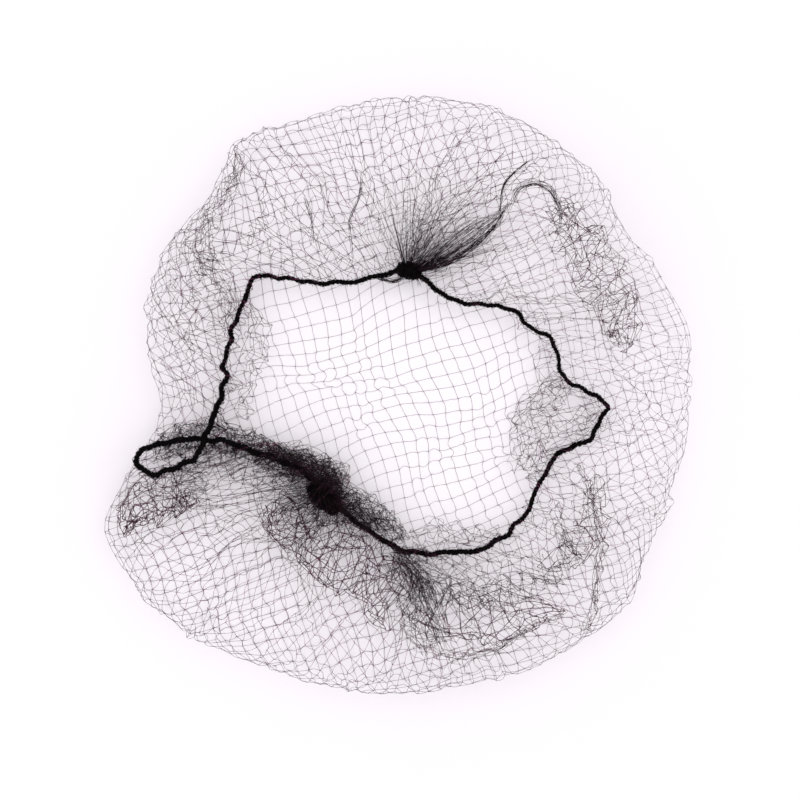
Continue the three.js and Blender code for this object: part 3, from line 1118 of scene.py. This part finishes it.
def thickness_node(tree):
    read = add_node(tree, "GeometryNodeInputNamedAttribute", Name="thickness")
    read.data_type = "FLOAT"
    return read


def thread_tree():
    """Tubes of the lines' own thickness along them."""
    known = bpy.data.node_groups.get("Spun thread")
    if known:
        return known
    tree, given, result = new_tree("Spun thread", "Sides")
    thickness = thickness_node(tree)
    curve = add_node(tree, "GeometryNodeMeshToCurve")
    thick = add_node(tree, "GeometryNodeSetCurveRadius")
    section = add_node(tree, "GeometryNodeCurvePrimitiveCircle", Radius=1.0)
    sweep = add_node(tree, "GeometryNodeCurveToMesh", Fill_Caps=True)
    join(
        tree,
        (given, "Geometry", curve, "Mesh"),
        (curve, "Curve", thick, "Curve"),
        (thickness, "Attribute", thick, "Radius"),
        (given, "Sides", section, "Resolution"),
        (thick, "Curve", sweep, "Curve"),
        (section, "Curve", sweep, "Profile Curve"),
    )
    if "Scale" in sweep.inputs:
        join(tree, (add_node(tree, "GeometryNodeInputRadius"), "Radius", sweep, "Scale"))
    finish_tree(tree, (sweep, "Mesh"), given, result)
    return tree


def crossing_tree():
    """A small tied bead, of the points' own thickness, on every crossing."""
    tree, given, result = new_tree("Tied crossings", "Seed")
    thickness = thickness_node(tree)
    bead = add_node(tree, "GeometryNodeMeshUVSphere", Segments=4, Rings=2, Radius=1.0)
    turn = add_node(tree, "FunctionNodeRandomValue")
    turn.data_type = "FLOAT_VECTOR"
    turn.inputs["Max"].default_value = (FULL_TURN, FULL_TURN, FULL_TURN)
    place = add_node(tree, "GeometryNodeInstanceOnPoints")
    join(
        tree,
        (given, "Seed", turn, "Seed"),
        (given, "Geometry", place, "Points"),
        (bead, "Mesh", place, "Instance"),
        (turn, "Value", place, "Rotation"),
        (thickness, "Attribute", place, "Scale"),
    )
    finish_tree(tree, (place, "Instances"), given, result)
    return tree


def grow(made, tree, values):
    """Run a tree on an object and keep the result as a plain mesh."""
    step = made.modifiers.new(tree.name, "NODES")
    step.node_group = tree
    for socket in tree.interface.items_tree:
        if socket.item_type == "SOCKET" and socket.name in values:
            step[socket.identifier] = values[socket.name]
    bpy.context.view_layer.update()
    graph = bpy.context.evaluated_depsgraph_get()
    mesh = bpy.data.meshes.new_from_object(made.evaluated_get(graph))
    made.modifiers.remove(step)
    made.data = mesh
    mesh.name = made.name
    if not mesh.polygons:
        raise RuntimeError(f"{made.name}: no faces were made")
    mesh.shade_smooth()
    return made


def spin(name, threads, sides, material, closed=False):
    made = line_object(name, threads, closed)
    return grow(made, thread_tree(), {"Sides": sides, "Material": material})


def dress(made, node):
    """Tie a finished piece to the solid that it stands for."""
    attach(made, BODY)
    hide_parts(node)


# Materials


def fibre_material(name, colour, lighter, grain=250, roughness=0.5, shine=0.15):
    """Dyed fibre: its colour drifts along the thread and its surface is finely ribbed."""
    dark_to, light_from = 0.35, 0.75
    gloss_drift, ribs = 0.1, 12
    made = bpy.data.materials.get(name)
    if made:
        return made
    made = bpy.data.materials.new(name)
    made.use_nodes = True
    tree = made.node_tree
    shader = tree.nodes["Principled BSDF"]
    shader.inputs["Specular IOR Level"].default_value = shine
    where = add_node(tree, "ShaderNodeTexCoord")
    drift = add_node(tree, "ShaderNodeTexNoise", Scale=grain, Detail=4.0)
    tint = add_node(tree, "ShaderNodeValToRGB")
    lightened = [c * lighter for c in colour]
    stops = ((dark_to, colour), (light_from, lightened))
    for element, (position, shade) in zip(tint.color_ramp.elements, stops):
        element.position = position
        element.color = (*shade, 1)
    smoothest, roughest = roughness - gloss_drift, roughness + gloss_drift
    gloss = add_node(tree, "ShaderNodeMapRange", To_Min=smoothest, To_Max=roughest)
    fibres = add_node(tree, "ShaderNodeTexNoise", Scale=grain * ribs)
    relief = add_node(tree, "ShaderNodeBump", Strength=0.4, Distance=0.05 * MM)
    join(
        tree,
        (where, "Object", drift, "Vector"),
        (where, "Object", fibres, "Vector"),
        (drift, "Fac", tint, "Fac"),
        (drift, "Fac", gloss, "Value"),
        (fibres, "Fac", relief, "Height"),
        (tint, "Color", shader, "Base Color"),
        (gloss, "Result", shader, "Roughness"),
        (relief, "Normal", shader, "Normal"),
    )
    return made


def net_material():
    return fibre_material("Nylon net thread", settings().net_colour, lighter=1.6)


def crown_material():
    return fibre_material("Stretched nylon thread", settings().crown_colour, lighter=1.6)


# Painted shade: gathered net, creases, dark ruffles and tufts take the same nylon painted near black.
def bunch_shade_material():
    return fibre_material("Bunched nylon thread with painted shade", settings().bunch_shade_colour, lighter=2.2)


# Painted shade: layered net and light ruffles take the nylon's colour darkened for the shade among their
# layers.
def fold_shade_material():
    return fibre_material("Folded nylon thread with painted shade", settings().fold_shade_colour, lighter=1.8)


def band_material():
    colour = settings().band_colour
    return fibre_material("Covered elastic", colour, lighter=2.5, grain=600, roughness=0.7, shine=0.04)


# The knots' gathered net takes the band's near-black: partly the nylon's own dark colour, partly painted
# shade inside the gathered mass.
def knot_shade_material():
    colour = settings().band_colour
    return fibre_material("Bunched net with painted shade", colour, lighter=3.0, grain=900, roughness=0.65, shine=0.04)


# Net


class HAIRNET_OT_net(bpy.types.Operator):
    """Spin the net's threads and tie its crossings"""

    bl_idname = "hairnet.net"
    bl_label = "Net"

    def execute(self, context):
        chosen = settings()
        lattice = make_lattice()
        # Layered and gathered pieces, creases and ruffles take darker colours: painted shade among their
        # threads.
        finishes = {
            "net_crown": crown_material(),
            "net_layered": fold_shade_material(),
            "net_gathered": bunch_shade_material(),
            "net_creases": bunch_shade_material(),
            "net_ruffles": bunch_shade_material(),
            "net_folds": fold_shade_material(),
        }
        pieces = net_threads(lattice)
        pieces["net_creases"] = crease_threads()
        pieces["net_ruffles"] = ruffle_threads(DARK_RUFFLES)
        pieces["net_folds"] = ruffle_threads(LIGHT_RUFFLES)
        for name, threads in pieces.items():
            material = finishes.get(name, net_material())
            dress(spin(name, threads, sides=3, material=material), "net_bag")
        inside = lattice["inside"]
        widths = BEAD * chosen.thread_radius / MM * crown_width(lattice["out"][inside])
        ties = line_object("net_crossings", [(lattice["place"][inside], widths)])
        grow(ties, crossing_tree(), {"Seed": chosen.seed, "Material": net_material()})
        dress(ties, "net_bag")
        return {"FINISHED"}


# Band


def closed_frames(path):
    """Along, side and up directions of a closed path that twist as little as they can."""
    along = np.roll(path, -1, axis=0) - np.roll(path, 1, axis=0)
    along /= np.linalg.norm(along, axis=1)[:, None]
    side = np.zeros_like(along)
    carried = np.cross([0, 0, 1], along[0])
    for i, direction in enumerate(along):
        carried = carried - direction * np.dot(carried, direction)
        carried = carried / np.linalg.norm(carried)
        side[i] = carried
    return along, side, np.cross(along, side)


def even_path(points, step):
    """The closed path with points an even step apart, its length, and each point's share of the route."""
    loop = np.concatenate([points, points[:1]])
    length = length_along(loop)
    at = np.linspace(0, length[-1], int(length[-1] / step), endpoint=False)
    even = np.stack([np.interp(at, length, loop[:, axis]) for axis in range(3)], axis=1)
    return even, length[-1], np.interp(at, length, np.arange(len(loop)) / len(points))


def wavering(rng, path, size, waves):
    """The closed path with small random bends in plan, that many waves round at the most."""
    share = FULL_TURN * np.arange(len(path)) / len(path)
    bends = np.zeros((len(path), 2))
    for wave in range(waves // 3, waves):
        bends += np.cos(wave * share[:, None] + rng.uniform(0, FULL_TURN, 2)) * rng.normal(size=2)
    moved = path.copy()
    moved[:, :2] += size * bends / bends.std()
    return moved


def wrapped(path, length, pitch, radius, start, rng, stray):
    """A cover thread wound round the path, with whole turns so that it closes."""
    swelling = 0.1
    _, side, up = closed_frames(path)
    share = np.arange(len(path)) / len(path)
    angle = start + FULL_TURN * round(length / pitch) * share
    angle = angle + stray * smooth_noise(rng, len(path), window=25, scale=5)
    reach = radius * (1 + swelling * smooth_noise(rng, len(path), window=9, scale=3))
    return path + side * (reach * np.cos(angle))[:, None] + up * (reach * np.sin(angle))[:, None]


def band_hairs(rng, path, radius, count):
    """Short loose thread ends that stand out of the band."""
    root_at, tip_at = 0.6, 0.8
    lean, shortest, longest = 0.8, 0.3, 1.0
    bend, half_width = 0.12, 0.045
    along, side, up = closed_frames(path)
    hairs = []
    for _ in range(count):
        i = rng.integers(len(path))
        angle = rng.uniform(0, FULL_TURN)
        out = side[i] * math.cos(angle) + up[i] * math.sin(angle)
        way = along[i] * rng.normal(0, lean) + out
        tip = path[i] + out * tip_at * radius[i] + way * rng.uniform(shortest, longest)
        root = path[i] + out * root_at * radius[i]
        middle = (root + tip) / 2 + rng.normal(0, bend, 3)
        hairs.append((np.stack([root, middle, tip]), half_width))
    return hairs


class HAIRNET_OT_band(bpy.types.Operator):
    """Lay the covered elastic along its route"""

    bl_idname = "hairnet.band"
    bl_label = "Elastic band"

    def execute(self, context):
        chosen = settings()
        rng = np.random.default_rng(chosen.seed + 2)
        pitch = chosen.wrap_pitch / MM
        bends, waves = 0.3, 70
        core, cover_at, cover, loops_at, loop = 0.68, 0.6, 0.38, 0.92, 0.11
        cover_stray, loop_stray = 0.12, 0.5
        path, length, share = even_path(band_path(BAND_STEPS), BAND_STEP)
        rows = [mark["row"] for mark in BAND_WIDTHS]
        widths = np.interp(share * len(BAND_ROUTE), rows, [mark["share"] for mark in BAND_WIDTHS])
        radius = chosen.band_radius / MM * widths
        path = wavering(rng, path, bends, waves)
        covers = [
            (wrapped(path, length, pitch, cover_at * radius, start, rng, cover_stray), cover * radius)
            for start in (0, FULL_TURN / 2)
        ]
        loops = [
            (wrapped(path, length, pitch * rate, loops_at * radius, start, rng, loop_stray), loop * radius)
            for rate, start in ((1.7, 0.4), (-2.3, 2.1), (2.9, 4.0))
        ]
        for name, threads, sides in (
            ("band_core", [(path[::2], core * radius[::2])], 8),
            ("band_cover", covers, 6),
            ("band_net_loops", loops, 4),
        ):
            dress(spin(name, threads, sides, band_material(), closed=True), "elastic_band")
        hairs = band_hairs(rng, path, radius, chosen.hairs)
        fuzz = spin("band_fuzz", hairs, sides=3, material=band_material())
        dress(fuzz, "elastic_band")
        return {"FINISHED"}


# Knots


def knot_frame(knot):
    """Middle of a knot on the band, and its ways along the band, out to the net and up."""
    path = band_path(BAND_STEPS)
    i = knot["row"] * BAND_STEPS
    along = path[i + 1] - path[i - 1]
    along /= np.linalg.norm(along)
    across = np.cross([0, 0, 1], along)
    across /= np.linalg.norm(across)
    if np.dot(across[:2], path[i][:2]) < 0:
        across = -across
    return path[i], along, across, np.array([0.0, 0, 1])


def knot_core(name, knot, material):
    """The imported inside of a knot: a lumpy spindle round the band."""
    middle, along, across, up = knot_frame(knot)
    rng = np.random.default_rng(knot["row"] + 11)
    rings, sides = 20, 28
    core_length, core_width = 0.84, 0.72
    ridges, twist, ridge, lump = 7, 3, 0.1, 0.06
    points = []
    for ring in range(rings + 1):
        t = math.pi * ring / rings
        for k in range(sides):
            angle = FULL_TURN * k / sides
            swell = core_width + ridge * math.cos(ridges * angle + twist * t) + rng.uniform(-lump, lump)
            points.append(
                middle
                - along * knot["length"] / 2 * core_length * math.cos(t)
                + across * knot["width"] / 2 * swell * math.sin(t) * math.cos(angle)
                + up * knot["height"] / 2 * swell * math.sin(t) * math.sin(angle)
            )
    faces = []
    for ring in range(rings):
        for k in range(sides):
            a, b = ring * sides + k, ring * sides + (k + 1) % sides
            faces.append((a, b, b + sides, a + sides))
    mesh = bpy.data.meshes.new(name)
    mesh.from_pydata([Vector(p) * MM for p in points], [], faces)
    tidy_mesh(mesh)
    mesh.materials.append(material)
    mesh.shade_smooth()
    made = bpy.data.objects.new(name, mesh)
    bpy.context.scene.collection.objects.link(made)
    return made


def tidy_mesh(mesh):
    """Close the poles of a lofted mesh and turn its faces outwards."""
    work = bmesh.new()
    work.from_mesh(mesh)
    bmesh.ops.remove_doubles(work, verts=work.verts, dist=1e-6)
    bmesh.ops.recalc_face_normals(work, faces=work.faces)
    work.to_mesh(mesh)
    work.free()


def knot_windings(knot):
    """Threads wound round a knot, over its whole length."""
    middle, along, across, up = knot_frame(knot)
    rng = np.random.default_rng(knot["row"] + 21)
    spread, slant, sway, farthest = 0.36, 0.35, 0.02, 0.48
    deepest, fewest_turns, most_turns = 0.82, 0.7, 1.6
    thinnest, thickest, count = 0.1, 0.22, 48
    t = np.linspace(0, 1, count)
    threads = []
    for _ in range(knot["threads"]):
        centre = rng.uniform(-spread, spread)
        place = centre + (t - 0.5) * rng.uniform(-slant, slant)
        place = place + sway * smooth_noise(rng, len(t), window=7, scale=2)
        place = np.clip(place, -farthest, farthest)
        swell = np.sqrt(1 - (2 * place) ** 2) * rng.uniform(deepest, 1.0)
        angle = rng.uniform(0, FULL_TURN) + FULL_TURN * rng.uniform(fewest_turns, most_turns) * t
        points = (
            middle
            + along * (place * knot["length"])[:, None]
            + across * (swell * knot["width"] / 2 * np.cos(angle))[:, None]
            + up * (swell * knot["height"] / 2 * np.sin(angle))[:, None]
        )
        threads.append((points, rng.uniform(thinnest, thickest)))
    return threads


def knot_tufts(knot):
    """Gathered threads that leave a knot, out into the net and back over the band."""
    middle, along, across, up = knot_frame(knot)
    rng = np.random.default_rng(knot["row"] + 31)
    skew_spread, pleat_spread, back_spread = 0.18, 0.04, 1.1
    least_skew, most_skew, most_lean = -1, 1.08, 0.9
    foot, lowest, highest, belly = 0.4, 0.5, 6.5, 1.5
    mostly_short, shortest_back = 1.6, 0.4
    sway_out, sway_along = 0.6, 0.9
    root, taper, count = 1.4, 0.9, 12
    t = np.linspace(0, 1, count)
    threads = []
    for index in range(knot["tufts"] + knot["back_tufts"]):
        lean = np.clip(knot["skew"] + rng.normal(0, skew_spread), least_skew, most_skew)
        if index % 2:
            lean = rng.uniform(knot["least"], most_lean)
        length = knot["width"] / 2 + rng.uniform(0, 1) ** mostly_short * knot["fan"]
        thick, nearest, loose = 0.06, 0.3, 1.0
        if index >= knot["tufts"]:
            lean = math.pi + rng.uniform(-back_spread, back_spread)
            length = rng.uniform(shortest_back, 1) * knot["back"] + knot["width"] / 2
            thick, nearest, loose = 0.085, 0.7, 0.5
        if knot["pleats"]:
            lean = round(lean * knot["pleats"]) / knot["pleats"] + rng.normal(0, pleat_spread)
        outward = across * math.cos(lean) + along * math.sin(lean)
        start = middle + along * knot["length"] * foot * math.sin(lean) * rng.uniform(nearest, 1)
        sway = loose * (across * rng.normal(0, sway_out) + along * rng.normal(0, sway_along))
        points = start + outward * (length * t)[:, None] + sway * (t * t)[:, None]
        lift = rng.uniform(lowest, highest)
        rise = lift * t + rng.uniform(-belly, belly) * np.sin(math.pi * t)
        points = points + up * rise[:, None]
        threads.append((points, thick * (root - taper * t)))
    return threads


class HAIRNET_OT_knots(bpy.types.Operator):
    """Bunch the net into its two knots"""

    bl_idname = "hairnet.knots"
    bl_label = "Gathered knots"

    def execute(self, context):
        material = knot_shade_material()
        for knot in KNOTS:
            name = knot["node"]
            dress(knot_core(f"{name}_core", knot, material), name)
            windings = spin(f"{name}_windings", knot_windings(knot), sides=5, material=material)
            dress(windings, name)
            tufts = spin(f"{name}_tufts", knot_tufts(knot), sides=3, material=bunch_shade_material())
            dress(tufts, name)
        return {"FINISHED"}


# Stage


class HAIRNET_OT_stage(bpy.types.Operator):
    """Set the pale table, the soft light and the camera"""

    bl_idname = "hairnet.stage"
    bl_label = "Table, light and camera"

    def execute(self, context):
        chosen = settings()
        scene = context.scene
        self.lay_table(chosen)
        self.light(scene)
        self.place_camera(scene, chosen)
        return {"FINISHED"}

    def lay_table(self, chosen):
        half = 3.0
        corners = [(-half, -half, 0), (half, -half, 0), (half, half, 0), (-half, half, 0)]
        mesh = bpy.data.meshes.new("table")
        mesh.from_pydata(corners, [], [(0, 1, 2, 3)])
        table = bpy.data.objects.new("table", mesh)
        bpy.context.scene.collection.objects.link(table)
        finish = bpy.data.materials.new("Pale table")
        finish.use_nodes = True
        shader = finish.node_tree.nodes["Principled BSDF"]
        shader.inputs["Base Color"].default_value = (*chosen.table_colour, 1)
        shader.inputs["Roughness"].default_value = 0.9
        shader.inputs["Specular IOR Level"].default_value = 0.1
        mesh.materials.append(finish)

    def light(self, scene):
        world = bpy.data.worlds.new("Soft room")
        world.use_nodes = True
        sky = world.node_tree.nodes["Background"]
        sky.inputs["Color"].default_value = (1.0, 0.99, 1.0, 1)
        sky.inputs["Strength"].default_value = 0.75
        scene.world = world
        for name, place, energy, size in (
            ("Overhead softbox", (0.25, 0.3, 1.6), 12, 1.8),
            ("Fill softbox", (-0.9, -0.7, 1.2), 5, 1.4),
        ):
            lamp = bpy.data.lights.new(name, "AREA")
            lamp.energy = energy
            lamp.size = size
            made = bpy.data.objects.new(name, lamp)
            made.location = place
            made.rotation_euler = (-Vector(place)).to_track_quat("-Z", "Y").to_euler()
            scene.collection.objects.link(made)
        scene.view_settings.view_transform = "Standard"

    def place_camera(self, scene, chosen):
        camera = bpy.data.cameras.new("Above")
        camera.sensor_width = 36
        camera.lens = camera.sensor_width * chosen.view_height / chosen.view_width
        camera.dof.use_dof = False
        made = bpy.data.objects.new("Above", camera)
        middle_x, middle_y, middle_height = 0.35 * MM, -1.9 * MM, 10 * MM
        made.location = (middle_x, middle_y, chosen.view_height + middle_height)
        scene.collection.objects.link(made)
        scene.camera = made


# Panel and start


class HAIRNET_PT_panel(bpy.types.Panel):
    """Steps and sizes of the hairnet"""

    bl_idname = "HAIRNET_PT_panel"
    bl_label = "Hairnet"
    bl_space_type = "VIEW_3D"
    bl_region_type = "UI"
    bl_category = "Hairnet"

    def draw(self, context):
        for step in STEPS:
            self.layout.operator(step.bl_idname)
        for name in HairnetSettings.__annotations__:
            self.layout.prop(context.scene.hairnet, name)


STEPS = (HAIRNET_OT_stage, HAIRNET_OT_band, HAIRNET_OT_knots, HAIRNET_OT_net)
CLASSES = (HairnetSettings, *STEPS, HAIRNET_PT_panel)


def register():
    for each in CLASSES:
        bpy.utils.register_class(each)
    bpy.types.Scene.hairnet = bpy.props.PointerProperty(type=HairnetSettings)


def unregister():
    del bpy.types.Scene.hairnet
    for each in reversed(CLASSES):
        bpy.utils.unregister_class(each)


def main():
    register()
    bpy.ops.hairnet.stage()
    bpy.ops.hairnet.band()
    bpy.ops.hairnet.knots()
    bpy.ops.hairnet.net()


if __name__ == "__main__":
    main()
